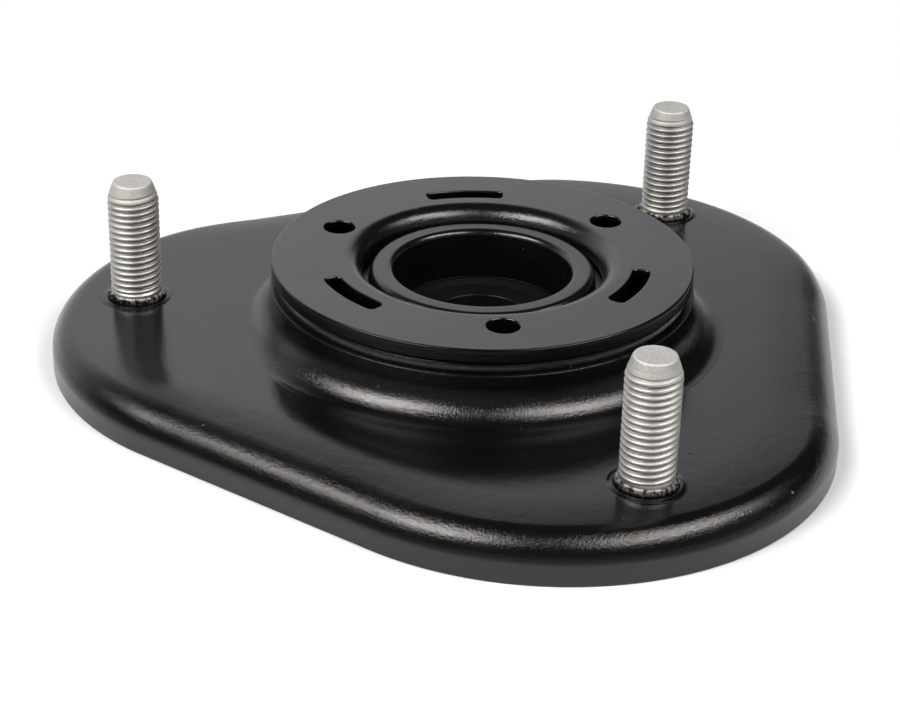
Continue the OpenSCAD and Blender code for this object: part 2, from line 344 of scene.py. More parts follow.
def black_paint(name, smooth, rough, gloss, flat_at, chips=False, sheen=None, cut_edge=None):
    """Semi-gloss black dip paint, smooth on the flat at one height and grainy on the bends next
    to it: faint smears, drawing lines, a few pits and specks of dust. Its sheen can differ with
    height, or be dull on the cut edge at one radius."""
    s = Shading(name)
    s.shader.inputs["IOR"].default_value = gloss
    smear = s.noise(60.0, 5.0, 0.65)
    off_flat = s.math("ABSOLUTE", s.math("SUBTRACT", s.height(), flat_at * MM))
    bent = s.ramp(off_flat, 0.1 * MM, 0.9 * MM, 0.05, 1.0)
    grain = s.math("MULTIPLY", s.noise(2500.0, 2.0, 0.7), bent)
    peel = s.noise(420.0, 3.0, 0.5)
    drawn = s.noise(260.0, 3.0, 0.6, (0.25, 0.25, 11.0))
    dust = s.math("MULTIPLY", s.specks(330.0, 0.045, 0.03), s.ramp(s.noise(70.0), 0.5, 0.62))
    pits = s.math("MULTIPLY", s.specks(150.0, 0.03, 0.045), s.ramp(s.noise(45.0), 0.48, 0.6))
    colour = s.mix(smear, (0.0018, 0.0018, 0.0020), (0.0036, 0.0036, 0.0040))
    colour = s.mix(s.math("MULTIPLY", dust, 0.35), colour, (0.16, 0.155, 0.15))
    if chips:
        bend = s.math("MULTIPLY", s.rise(-3.4, -2.4), s.rise(-1.4, -0.7, 1.0, 0.0))
        spots = s.ramp(s.noise(1000.0, 2.0, 0.5), 0.735, 0.765)
        colour = s.mix(s.math("MULTIPLY", bend, spots), colour, (0.22, 0.2, 0.185))
    if sheen:
        s.sheen(s.profile(sheen))
    if cut_edge:
        inside, outside = ((cut_edge - band) * MM for band in CUT_EDGE_BAND)
        s.sheen(s.ramp(s.off_axis(), inside, outside, *CUT_EDGE_SHEEN))
    normal = s.bump(grain, 1.0, 0.08)
    normal = s.bump(peel, 0.3, 0.1, normal)
    normal = s.bump(drawn, 0.3, 0.08, normal)
    normal = s.bump(s.math("SUBTRACT", dust, pits), 0.5, 0.06, normal)
    return s.finish(colour, s.ramp(smear, 0.3, 0.7, smooth, rough), normal)


def stud_steel():
    """Bare satin steel of the rolled threads, with painted shade in the roots, and paler on the cut
    tops, partly a painted highlight.
    """
    s = Shading("stud_steel")
    blotch = s.noise(240.0, 4.0, 0.6)
    grain = s.noise(3200.0, 2.0, 0.6)
    bright = s.mix(blotch, (0.47, 0.465, 0.45), (0.66, 0.655, 0.635))
    # The cut tops are paler: partly their own cut finish, partly a painted highlight.
    bright = s.mix(s.rise(STUD_H - 0.4, STUD_H - 0.1), bright, (0.72, 0.715, 0.70))
    bright = s.mix(s.ramp(grain, 0.38, 0.62, 0.3, 0.0), bright, (0.30, 0.295, 0.28))
    # Painted shade: the colour is darkened in the thread's roots.
    root_shade = s.ramp(s.attribute("thread_root"), 0.35, 1.0, 0.0, 0.6)
    colour = s.mix(root_shade, bright, (0.14, 0.135, 0.125))
    matt_end = s.rise(STUD_H - 4.0, STUD_H - 2.0, 0.0, 0.2)
    roughness = s.math("ADD", s.ramp(blotch, 0.3, 0.7, 0.42, 0.56), matt_end)
    normal = s.bump(grain, 0.3, 0.06)
    normal = s.bump(s.noise(1500.0, 3.0, 0.6), 0.4, 0.07, normal)
    return s.finish(colour, roughness, normal, 1.0)


def serrated_steel():
    """Pressed-in necks: black paint over the serrations, with bare steel where it scraped off."""
    s = Shading("serrated_steel")
    scraped = s.ramp(s.noise(900.0, 3.0, 0.6), 0.44, 0.56)
    bare = s.math("MULTIPLY", scraped, s.rise(0.3, 0.9))
    colour = s.mix(bare, (0.012, 0.012, 0.013), (0.34, 0.335, 0.32))
    roughness = s.ramp(scraped, 0.0, 1.0, 0.32, 0.45)
    return s.finish(colour, roughness, s.bump(s.noise(2600.0), 0.2, 0.05), 0.5)


def bearing_steel():
    """Bearing steel coloured near black, painted shade for the deep well it sits in, with faint
    turning marks.
    """
    s = Shading("bearing_steel")
    marks = s.noise(900.0, 2.0, 0.5, (1.0, 1.0, 6.0))
    # Painted shade: a near-black colour in place of the steel's own, so that the well stays dark.
    colour = s.mix(s.noise(90.0, 4.0, 0.6), (0.003, 0.003, 0.0032), (0.006, 0.006, 0.0064))
    s.sheen(DULL_SHEEN)
    return s.finish(colour, s.ramp(marks, 0.3, 0.7, 0.25, 0.35), s.bump(marks, 0.05, 0.03))


def blotched(name, blotch, tones, smooth, rough, grain, metallic, sheen=None):
    """Plain finish in soft blotches of two tones, the paler ones rougher, with a fine grain."""
    s = Shading(name)
    pattern = s.noise(*blotch)
    if sheen is not None:
        s.sheen(sheen)
    scale, strength, depth = grain
    relief = s.bump(s.noise(scale), strength, depth)
    return s.finish(s.mix(pattern, *tones), s.ramp(pattern, 0.3, 0.7, smooth, rough), relief,
                    metallic)


def plain_steel():
    """Dull oiled steel of the retaining ring."""
    return blotched("plain_steel", (120.0, 4.0, 0.6), ((0.20, 0.20, 0.205), (0.32, 0.315, 0.31)),
                    0.35, 0.5, (1800.0, 0.1, 0.04), 1.0)


def cage_metal():
    """Pressed yellow-metal cage, dulled by grease."""
    return blotched("cage_metal", (200.0, 3.0, 0.6), ((0.46, 0.33, 0.13), (0.62, 0.47, 0.22)),
                    0.3, 0.45, (1500.0, 0.08, 0.04), 1.0)


def moulded_rubber():
    """Matt black rubber with a fine moulded grain."""
    return blotched("moulded_rubber", (60.0, 4.0, 0.6),
                    ((0.004, 0.004, 0.004), (0.007, 0.0069, 0.0067)),
                    0.55, 0.75, (2200.0, 0.2, 0.08), 0.0, DULL_SHEEN)


def studio_floor():
    """Pale sheet on a dark table; away from the part the camera and the metal see plain white."""
    s = Shading("studio_floor")
    cloud = s.noise(3.0, 2.0, 0.5)
    reach = s.off_axis()
    sheet = s.mix(cloud, (0.82, 0.86, 0.91), (0.84, 0.88, 0.93))
    colour = s.mix(s.ramp(reach, *FLOOR_SHEET), sheet, (0.04, 0.04, 0.04))
    s.finish(colour, s.ramp(cloud, 0.0, 1.0, 0.85, 0.95))
    rays = s.node("ShaderNodeLightPath").outputs
    mirrored = s.math("MAXIMUM", rays["Is Glossy Ray"], rays["Is Transmission Ray"])
    mirrored = s.math("MULTIPLY", mirrored, s.ramp(reach, *FLOOR_MIRRORED, 1.0, 0.0))
    seen = s.math("MAXIMUM", rays["Is Camera Ray"], mirrored)
    far = s.math("MULTIPLY", seen, s.ramp(reach, *FLOOR_WHITE))
    white = s.node("ShaderNodeEmission")
    blend = s.node("ShaderNodeMixShader", {0: far, 1: s.shader.outputs[0], 2: white.outputs[0]})
    s.feed(blend.outputs[0], s.tree.nodes["Material Output"].inputs["Surface"])
    return s.material


# Camera and light

def camera_axes(turn, yaw, pitch, roll):
    """Right, up and back vectors of a camera with the given angles in degrees."""
    yaw, pitch, roll = math.radians(yaw), math.radians(pitch), math.radians(roll)
    ahead = Vector((math.sin(yaw) * math.cos(pitch), math.cos(yaw) * math.cos(pitch),
                    -math.sin(pitch)))
    right = Vector((math.cos(yaw), -math.sin(yaw), 0.0))
    up = right.cross(ahead)
    level_right = math.cos(roll) * right + math.sin(roll) * up
    level_up = math.cos(roll) * up - math.sin(roll) * right
    spin = Matrix.Rotation(math.radians(turn), 3, "Z")
    return spin @ level_right, spin @ level_up, spin @ -ahead


def view_frame(vector):
    """Turns a direction given as the photographer sees it into the part's frame."""
    return Matrix.Rotation(math.radians(VIEW_TURN), 3, "Z") @ Vector(vector)


def stand(name, data, axes, place):
    """Puts a camera or lamp in the scene, turned to its right, up and back vectors."""
    item = bpy.data.objects.new(name, data)
    matrix = Matrix(axes).transposed().to_4x4()
    matrix.translation = place
    item.matrix_world = matrix
    bpy.context.scene.collection.objects.link(item)
    return item


def make_camera():
    data = bpy.data.cameras.new("camera")
    data.sensor_width = CAMERA_SENSOR
    data.lens = CAMERA_LENS
    data.clip_start, data.clip_end = CAMERA_CLIP
    axes = camera_axes(VIEW_TURN, CAMERA_YAW, CAMERA_PITCH, CAMERA_ROLL)
    bpy.context.scene.camera = stand("camera", data, axes, view_frame(CAMERA_PLACE))


def make_softbox(name, towards, along, length, width, power):
    """Soft rectangular lamp that looks back at the part; along is the direction of its length."""
    back = view_frame(towards).normalized()
    across = view_frame(along)
    across = (across - back * across.dot(back)).normalized()
    data = bpy.data.lights.new(name, "AREA")
    data.shape = "RECTANGLE"
    data.size, data.size_y = length, width
    data.energy = power
    data.color = SOFTBOX_COLOUR
    stand(name, data, (across, back.cross(across), back), back * SOFTBOX_DISTANCE)


def make_world():
    """White studio wall behind the part, brightest a little to the left and higher up, that ends
    at the right, in a dark room. The wall behind the camera catches some light low down, so that
    the flats show from behind as well."""
    world = bpy.data.worlds.new("studio")
    world.use_nodes = True
    w = Nodes(world.node_tree)
    around = w.node("ShaderNodeTexCoord").outputs["Generated"]
    seen = w.node("ShaderNodeVectorRotate",
                  {"Vector": around, "Angle": -math.radians(VIEW_TURN)},
                  rotation_type="Z_AXIS").outputs[0]
    right, away, up = w.node("ShaderNodeSeparateXYZ", {0: seen}).outputs
    facing = w.node("ShaderNodeVectorMath", {0: seen, 1: WALL_FACING}, operation="DOT_PRODUCT")
    wall_end = w.ramp(right, *WALL_END, 0.0, WALL_END_DROP)
    lit = w.math("SUBTRACT", facing.outputs["Value"], wall_end)
    wall = w.node("ShaderNodeValToRGB", {0: lit})
    dark, white = wall.color_ramp.elements
    dark.position, white.position = WALL_SPAN
    dark.color, white.color = (*ROOM_COLOUR, 1.0), (*WALL_COLOUR, 1.0)
    glow = w.math("MULTIPLY", w.ramp(up, *GLOW_RISE, *GLOW_LEVELS),
                  w.ramp(away, *GLOW_SIDE, 1.0, 0.0))
    room = w.mix(1.0, wall.outputs["Color"], glow, blend_type="LIGHTEN")
    background = w.tree.nodes["Background"].inputs
    w.feed(room, background["Color"])
    w.feed(w.ramp(up, *WALL_RISE, *WALL_LEVELS), background["Strength"])
    bpy.context.scene.world = world


# Sections and meshes

def arc(centre, radius, start, stop, steps):
    """Points on an arc, angles in degrees."""
    turns = [math.radians(start + (stop - start) * k / steps) for k in range(steps + 1)]
    return [(centre[0] + radius * math.cos(t), centre[1] + radius * math.sin(t)) for t in turns]


def quarter(steps):
    """Angles of a quarter turn in even steps, in radians."""
    return [math.radians(90 * k / steps) for k in range(steps + 1)]


def between(first, second, share):
    return first + share * (second - first)


def rounded(corners):
    """Closed section whose corners (radius, height, rounding) are turned into arcs."""
    points = []
    for i, (x, y, rounding) in enumerate(corners):
        here = Vector((x, y))
        if not rounding:
            points.append((x, y))
            continue
        before = (Vector(corners[i - 1][:2]) - here).normalized()
        after = (Vector(corners[(i + 1) % len(corners)][:2]) - here).normalized()
        half = before.angle(after) / 2
        centre = here + (before + after).normalized() * (rounding / math.sin(half))
        first = here + before * (rounding / math.tan(half)) - centre
        last = here + after * (rounding / math.tan(half)) - centre
        start = math.atan2(first.y, first.x)
        sweep = (math.atan2(last.y, last.x) - start + math.pi) % (2 * math.pi) - math.pi
        steps = max(4, round(rounding * 5))
        points += arc(centre, rounding, math.degrees(start), math.degrees(start + sweep), steps)
    return points


def in_metres(bm, name):
    """Mesh of what was drawn in millimetres."""
    bmesh.ops.scale(bm, vec=(MM, MM, MM), verts=bm.verts)
    mesh = bpy.data.meshes.new(name)
    bm.to_mesh(mesh)
    bm.free()
    return mesh


def mesh_of(bm, name):
    """Plain mesh in metres, its seams closed and its faces outward."""
    bmesh.ops.remove_doubles(bm, verts=bm.verts, dist=0.0005)
    bmesh.ops.recalc_face_normals(bm, faces=bm.faces)
    return in_metres(bm, name)


def smooth_by_area(mesh):
    """Smooth shading whose normals follow the larger faces, so that flats stay flat."""
    mesh.polygons.foreach_set("use_smooth", [True] * len(mesh.polygons))
    total = np.zeros((len(mesh.vertices), 3))
    for face in mesh.polygons:
        total[list(face.vertices)] += np.array(face.normal) * face.area
    lengths = np.linalg.norm(total, axis=1)
    lengths[lengths == 0] = 1.0
    mesh.normals_split_custom_set_from_vertices((total / lengths[:, None]).tolist())
    return mesh


def bridge(bm, here, there, closed=True):
    """Faces between two rows of vertices."""
    for i in range(len(here) if closed else len(here) - 1):
        j = (i + 1) % len(here)
        bm.faces.new((here[i], here[j], there[j], there[i]))


def spin_strip(bm, section, sides=SIDES, closed=True, centre=(0.0, 0.0)):
    """Turns a section about a vertical axis."""
    rings = []
    for k in range(sides):
        c, s = math.cos(2 * math.pi * k / sides), math.sin(2 * math.pi * k / sides)
        rings.append([bm.verts.new((centre[0] + r * c, centre[1] + r * s, z))
                      for r, z in section])
    for k, here in enumerate(rings):
        bridge(bm, here, rings[(k + 1) % sides], closed)


def turned(name, section, sides=SIDES):
    """Mesh of one turned ring."""
    bm = bmesh.new()
    spin_strip(bm, section, sides)
    return smooth_by_area(mesh_of(bm, name))


def keep_piece(name, mesh, material, body, slot, *replaced):
    """Puts a finished mesh in the scene as a piece of the object."""
    mesh.materials.clear()
    mesh.materials.append(material)
    piece = bpy.data.objects.new(name, mesh)
    bpy.context.scene.collection.objects.link(piece)
    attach(piece, body)
    if replaced:
        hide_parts(*replaced)


# Plate

def outline_reach(turn, inset):
    """Distance from the axis to the plate's outline, set in by some millimetres."""
    corner = CORNER_R - inset
    third = math.radians(STUD_STEP)
    aside = abs((turn - math.radians(FIRST_STUD) + third / 2) % third - third / 2)
    arc_end = math.atan2(corner * math.sin(third / 2),
                         CORNER_OFFSET + corner * math.cos(third / 2))
    if aside <= arc_end:
        lateral = CORNER_OFFSET * math.sin(aside)
        return CORNER_OFFSET * math.cos(aside) + math.sqrt(corner * corner - lateral * lateral)
    return (CORNER_OFFSET * math.cos(third / 2) + corner) / math.cos(third / 2 - aside)


def hub_stations():
    """Round part of the plate's section, from the fillet's foot over the neck to its underside."""
    foot = HUB_R + HUB_FILLET
    axis = (foot, HUB_FILLET)
    inner_r = HUB_R - SHEET_T
    line = [(foot + DIE_LINE_W * 2, 0.0), (foot + DIE_LINE_W, -DIE_LINE_DEPTH),
            (foot + DIE_LINE_W / 2, 0.0)]
    fillet = arc(axis, HUB_FILLET, 270, 180, FILLET_STEPS)
    brow = arc((HUB_R - HUB_BEVEL, HUB_H - HUB_BEVEL), HUB_BEVEL, 0, 90, BEVEL_STEPS)
    brow += [(inner_r + HUB_INNER_BEVEL, HUB_H), (inner_r, HUB_H - HUB_INNER_BEVEL)]
    under = arc(axis, HUB_FILLET + SHEET_T, 180, 270, UNDER_FILLET_STEPS)
    return line + fillet + brow + under


def side_share(turn):
    """0 round the corners of the plate and 1 along its straight sides."""
    aside = (math.degrees(turn) - FIRST_STUD + STUD_STEP / 2) % STUD_STEP - STUD_STEP / 2
    share = min(max((abs(aside) - SIDE_FROM) / SIDE_EASING, 0.0), 1.0)
    return share * share * (3 - 2 * share)


def sag(inset, run, slope):
    """How far the sheet has sagged towards its edge, before the bend and over it."""
    if inset >= SAG_RUN:
        return 0.0
    eased = (SAG_RUN - max(inset, run)) ** 2 / (SAG_RUN - run) / 2
    return slope * (eased + max(run - inset, 0.0))


def edge_stations(share):
    """Rest of the section as insets from the outline: underside, rim, skirt, bend and top."""
    run = between(CORNER_BEND, SIDE_BEND_RUN, share)
    drop = between(CORNER_BEND, SIDE_BEND_DROP, share)
    slope = between(CORNER_SAG, SIDE_SAG, share)
    easing = [SAG_RUN + (run - SAG_RUN) * k / SAG_STEPS for k in range(SAG_STEPS)]
    under = [(inset, -SHEET_T) for inset in easing]
    under += [(run - (run - SHEET_T) * math.sin(t), -drop + (drop - SHEET_T) * math.cos(t))
              for t in quarter(UNDER_BEND_STEPS)]
    rim = [(SHEET_T, -SKIRT_H + SHEAR_EDGE), (SHEET_T - SHEAR_EDGE, -SKIRT_H),
           (SHEAR_EDGE, -SKIRT_H), (SHEAR_BREAK, -SKIRT_H + SHEAR_BREAK),
           (0.0, -SKIRT_H + SHEAR_EDGE)]
    bend = [(run * (1 - math.sin(t)), -drop * (1 - math.cos(t)))
            for t in quarter(BEND_STEPS)[::-1]]
    bend += [(inset, 0.0) for inset in easing[::-1]]
    under, bend = ([(inset, z - sag(inset, run, slope)) for inset, z in stations]
                   for stations in (under, bend))
    return under + rim + bend


def neck_swelling():
    """Section of the low swelling of the sheet round a stud's neck."""
    steps = [k / RIM_STEPS for k in range(RIM_STEPS, -1, -1)]
    slope = [(between(RIM_TOP_R, RIM_OUTER_R, k),
              RIM_H * (1 + math.cos(math.pi * k)) / 2 - RIM_SINK) for k in steps]
    return ([(RIM_OUTER_R, RIM_ROOT)] + slope
            + [(RIM_INNER_R, RIM_H - RIM_SINK), (RIM_INNER_R, RIM_ROOT)])


def plate_mesh():
    bm = bmesh.new()
    hub = hub_stations()
    spokes = []
    for k in range(PLATE_SPOKES):
        turn = 2 * math.pi * k / PLATE_SPOKES
        edge = [(outline_reach(turn, inset), z) for inset, z in edge_stations(side_share(turn))]
        c, s = math.cos(turn), math.sin(turn)
        spokes.append([bm.verts.new((r * c, r * s, z)) for r, z in hub + edge])
    for k, here in enumerate(spokes):
        bridge(bm, here, spokes[(k + 1) % PLATE_SPOKES])
    for i in range(STUD_COUNT):
        turn = math.radians(FIRST_STUD + i * STUD_STEP)
        neck = (STUD_CIRCLE_R * math.cos(turn), STUD_CIRCLE_R * math.sin(turn))
        spin_strip(bm, neck_swelling(), RIM_SIDES, True, neck)
    return smooth_by_area(mesh_of(bm, "plate_pressing"))


# Disc with its punched holes and slots

def round_vent(grow):
    """Outline of the punched hole on the X axis, grown by some millimetres all round."""
    return arc((VENT_R, 0.0), VENT_HOLE_R + grow, 0, 360, HOLE_SIDES)[:-1]


def slot_vent(grow):
    """Outline of the curved slot about the X axis, grown by some millimetres all round."""
    inner, outer = VENT_R - SLOT_W / 2, VENT_R + SLOT_W / 2
    turn = math.degrees(math.radians(SLOT_ARC / 2) - math.asin(SLOT_ROUND / VENT_R))

    def corner(radius, at, start):
        centre = (radius * math.cos(math.radians(at)), radius * math.sin(math.radians(at)))
        return arc(centre, SLOT_ROUND + grow, at + start, at + start + 90, SLOT_CORNER_STEPS)

    outer_edge = arc((0.0, 0.0), outer + grow, -turn, turn, SLOT_STEPS)
    inner_edge = arc((0.0, 0.0), inner - grow, turn, -turn, SLOT_STEPS)
    outer_r, inner_r = outer - SLOT_ROUND, inner + SLOT_ROUND
    return (outer_edge[1:-1] + corner(outer_r, turn, 0) + corner(inner_r, turn, 90)
            + inner_edge[1:-1] + corner(inner_r, -turn, 180) + corner(outer_r, -turn, 270))


VENTS = [(round_vent, "hole_wall", FIRST_STUD + VENT_TURN),
         (slot_vent, "slot_wall", FIRST_STUD + VENT_TURN + STUD_STEP / 2)]


def spun(points, degrees):
    c, s = math.cos(math.radians(degrees)), math.sin(math.radians(degrees))
    return [(x * c - y * s, x * s + y * c) for x, y in points]


def vent_lining(outline, name, degrees):
    """Wall of one vent, with its punched upper edge rounded, placed at its first angle."""
    levels = [(PUNCH_ROUND * (1 - math.sin(t)), DISC_TOP - PUNCH_ROUND * (1 - math.cos(t)))
              for t in quarter(PUNCH_STEPS)] + [(0.0, DISC_UNDER)]
    bm = bmesh.new()
    rings = [[bm.verts.new((x, y, z)) for x, y in spun(outline(grow), degrees)]
             for grow, z in levels]
    for upper, lower in zip(rings, rings[1:]):
        bridge(bm, upper, lower)
    return bpy.data.objects.new(name, in_metres(bm, name))


def crossings(point, starts, ends):
    """How many of the edges a line from the point towards +X crosses."""
    above = (starts[:, 1] > point.y) != (ends[:, 1] > point.y)
    start, end = starts[above], ends[above]
    share = (point.y - start[:, 1]) / (end[:, 1] - start[:, 1])
    return int((between(start[:, 0], end[:, 0], share) > point.x).sum())


def pierced_ring(bm, height, grow):
    """Flat ring of the disc at one height, with the six vents left open."""
    loops = [arc((0.0, 0.0), r, 0, 360, SIDES)[:-1] for r in (FLAT_OUTER_R, FLAT_INNER_R)]
    for i in range(STUD_COUNT):
        loops += [spun(outline(grow), at + i * STUD_STEP) for outline, _, at in VENTS]
    points, edges = [], []
    for loop in loops:
        first = len(points)
        points += [Vector(p) for p in loop]
        edges += [(first + k, first + (k + 1) % len(loop)) for k in range(len(loop))]
    verts, _, faces, *_ = geometry.delaunay_2d_cdt(points, edges, [], 1, 1e-6)
    made = [bm.verts.new((v.x, v.y, height)) for v in verts]
    starts = np.array([point for loop in loops for point in loop])
    ends = np.array([point for loop in loops for point in loop[1:] + loop[:1]])
    for face in faces:
        middle = sum((verts[i] for i in face), Vector((0.0, 0.0))) / len(face)
        if crossings(middle, starts, ends) % 2:
            bm.faces.new([made[i] for i in face])


def disc_blank():
    """Disc with open vents: flat rings above and below, the sheared edge and the rolled collar."""
    bm = bmesh.new()
    pierced_ring(bm, DISC_TOP, PUNCH_ROUND)
    pierced_ring(bm, DISC_UNDER, 0.0)
    over, under = DISC_EDGE_ROUND, DISC_UNDER_ROUND
    edge = ([(FLAT_OUTER_R, DISC_TOP)]
            + arc((DISC_R - over, DISC_TOP - over), over, 90, 0, 6)
            + arc((DISC_R - under, DISC_UNDER + under), under, 0, -90, 4)
            + [(FLAT_OUTER_R, DISC_UNDER)])
    spin_strip(bm, edge, SIDES, False)
    wall = DISC_TOP - DISC_UNDER
    foot = COLLAR_BOTTOM + COLLAR_ROUND
    roll = ([(FLAT_INNER_R, DISC_TOP)]
            + arc(ROLL_AXIS, ROLL_R, 90, 180, 20)
            + arc((COLLAR_R + COLLAR_ROUND, foot), COLLAR_ROUND, 180, 270, 4)
            + arc((COLLAR_R + wall - COLLAR_ROUND, foot), COLLAR_ROUND, 270, 360, 4)
            + arc(ROLL_AXIS, ROLL_R - wall, 180, 90, 8)
            + [(FLAT_INNER_R, DISC_UNDER)])
    spin_strip(bm, roll, SIDES, False)
    return mesh_of(bm, "disc_blank")


# Geometry Nodes

class ShapeTree(Nodes):
    """A Geometry Nodes tree under construction, with its sizes as named inputs."""

    def __init__(self, name):
        super().__init__(bpy.data.node_groups.new(name, "GeometryNodeTree"))
        for way in ("INPUT", "OUTPUT"):
            self.tree.interface.new_socket("Geometry", in_out=way,
                                           socket_type="NodeSocketGeometry")
        self.inputs = self.node("NodeGroupInput")
        self.output = self.node("NodeGroupOutput")
        self.values = {}

    def size(self, name, value, kind="NodeSocketFloat"):
        """Named input of the tree; returns its socket."""
        made = self.tree.interface.new_socket(name, in_out="INPUT", socket_type=kind)
        self.values[made.identifier] = value
        return self.inputs.outputs[name]

    def vector(self, x, y, z):
        return self.node("ShaderNodeCombineXYZ", {"X": x, "Y": y, "Z": z}).outputs[0]

    def polar(self, radius, angle, z):
        """Place at a distance from the Z axis and an angle in radians."""
        return self.vector(self.math("MULTIPLY", radius, self.math("COSINE", angle)),
                           self.math("MULTIPLY", radius, self.math("SINE", angle)), z)

    def turns(self, count):
        """Points at the origin, one for each repeat, with the angle of each in radians and its
        number."""
        line = self.node("GeometryNodeMeshLine", {"Count": count, "Offset": (0.0, 0.0, 0.0)})
        index = self.node("GeometryNodeInputIndex").outputs[0]
        angle = self.math("DIVIDE", self.math("MULTIPLY", index, 2 * math.pi), count)
        return line.outputs["Mesh"], angle, index

    def stud_places(self):
        """Points on the stud circle, with the number of each."""
        circle = self.size("Stud Circle Radius", STUD_CIRCLE_R * MM)
        count = self.size("Stud Count", STUD_COUNT, "NodeSocketInt")
        points, turn, index = self.turns(count)
        centre = self.polar(circle, self.math("ADD", turn, math.radians(FIRST_STUD)), 0.0)
        spread = self.node("GeometryNodeSetPosition", {"Geometry": points, "Position": centre})
        return spread.outputs[0], index

    def copies(self, points, shape, turn=0.0):
        """One copy of a shape at each point, turned about Z."""
        sockets = {"Points": points, "Instance": shape, "Rotation": self.vector(0.0, 0.0, turn)}
        return self.node("GeometryNodeInstanceOnPoints", sockets).outputs[0]

    def joined(self, shapes):
        """All the shapes and the mesh that the tree runs on."""
        whole = self.node("GeometryNodeJoinGeometry")
        for shape in [*shapes, self.inputs.outputs["Geometry"]]:
            self.feed(shape, whole.inputs[0])
        return whole.outputs[0]

    def realized(self, shape):
        return self.node("GeometryNodeRealizeInstances", {"Geometry": shape}).outputs[0]

    def finish(self, shape, material, seam=0.0):
        """Realizes the repeats, closes the seams and gives the material."""
        last = self.realized(shape)
        if seam:
            sockets = {"Geometry": last, "Distance": seam * MM}
            last = self.node("GeometryNodeMergeByDistance", sockets).outputs[0]
        last = self.node("GeometryNodeSetShadeSmooth", {"Geometry": last}).outputs[0]
        done = self.node("GeometryNodeSetMaterial", {"Geometry": last, "Material": material})
        self.feed(done.outputs[0], self.output.inputs[0])

    def mesh(self, name, blank=None):
        """Runs the tree on a blank and returns the result as a plain mesh."""
        blank = blank or bpy.data.meshes.new(name + "_blank")
        holder = bpy.data.objects.new(name + "_maker", blank)
        bpy.context.scene.collection.objects.link(holder)
        modifier = holder.modifiers.new("maker", "NODES")
        modifier.node_group = self.tree
        for identifier, value in self.values.items():
            modifier[identifier] = value
        graph = bpy.context.evaluated_depsgraph_get()
        made = bpy.data.meshes.new_from_object(holder.evaluated_get(graph), depsgraph=graph)
        made.name = name
        holder.modifiers.remove(modifier)
        bpy.data.objects.remove(holder)
        bpy.data.meshes.remove(blank)
        return made


def thread_mesh(material):
    """Three studs with a rolled thread that runs out into a tapered lead."""
    t = ShapeTree("stud_thread")
    pitch = t.size("Pitch", THREAD_PITCH * MM)
    crest = t.size("Thread Radius", THREAD_R * MM)
    depth = t.size("Thread Depth", THREAD_DEPTH * MM)
    start = t.size("Start Height", THREAD_START * MM)
    top = t.size("Stud Height", STUD_H * MM)
    lead = t.size("Lead Height", LEAD_H * MM)
    tip = t.size("Tip Radius", TIP_R * MM)
    columns, rows = THREAD_GRID
    grid = t.node("GeometryNodeMeshGrid", {"Size X": 1.0, "Size Y": 1.0,
                                           "Vertices X": columns, "Vertices Y": rows})
    place = t.node("ShaderNodeSeparateXYZ", {0: t.node("GeometryNodeInputPosition").outputs[0]})
    around = t.math("ADD", place.outputs["X"], 0.5)
    along = t.math("ADD", place.outputs["Y"], 0.5)

    # The grid's rows run out over the foot, up the shank and in over the top
    shank = t.math("SUBTRACT", top, start)
    foot = t.math("ADD", crest, FOOT_FLARE * MM)
    run = t.math("ADD", shank, t.math("ADD", foot, tip))
    travel = t.math("SUBTRACT", t.math("MULTIPLY", along, run), foot)
    z = t.math("SMOOTH_MIN", t.math("MAXIMUM", travel, 0.0), shank, TOP_EASING * MM)

    phase = t.math("FRACT", t.math("SUBTRACT", t.math("DIVIDE", z, pitch), around))
    wave = t.math("ABSOLUTE", t.math("SUBTRACT", t.math("MULTIPLY", phase, 2.0), 1.0))
    ridge = t.ramp(wave, *THREAD_FLANK, interpolation_type="SMOOTHSTEP")
    full = t.ramp(z, *(height * MM for height in THREAD_RUN_OUT), interpolation_type="SMOOTHSTEP")
    groove = t.math("MULTIPLY", t.math("SUBTRACT", 1.0, ridge), full)
    rolled = t.math("SUBTRACT", crest, t.math("MULTIPLY", groove, depth))

    below_top = t.math("SUBTRACT", shank, z)
    taper = t.math("DIVIDE", t.math("SUBTRACT", crest, tip), lead)
    cone = t.math("ADD", tip, t.math("MULTIPLY", below_top, taper))
    cap = t.math("ADD", tip, t.math("SUBTRACT", shank, travel))
    base = t.math("ADD", foot, travel)
    radius = t.math("SMOOTH_MIN", rolled, cone, LEAD_EASING * MM)
    radius = t.math("SMOOTH_MIN", radius, cap, TIP_EASING * MM)
    radius = t.math("MAXIMUM", t.math("MINIMUM", radius, base), 0.0)
    spot = t.polar(radius, t.math("MULTIPLY", around, 2 * math.pi), t.math("ADD", z, start))

    # Mask of the thread's roots, which the stud's colour uses for painted shade.
    below_lead = t.ramp(below_top, t.math("MULTIPLY", lead, LEAD_ROOT_SHARE), lead)
    root_shade = t.math("MULTIPLY", groove, below_lead)
    marked = t.node("GeometryNodeStoreNamedAttribute",
                    {"Geometry": grid.outputs["Mesh"], "Name": "thread_root", "Value": root_shade},
                    data_type="FLOAT", domain="POINT")
    stud = t.node("GeometryNodeSetPosition", {"Geometry": marked.outputs[0], "Position": spot})
    places, index = t.stud_places()
    studs = t.copies(places, stud.outputs[0], t.math("MULTIPLY", index, STUD_SPIN))
    t.finish(studs, material, THREAD_SEAM)
    return t.mesh("stud_threads")


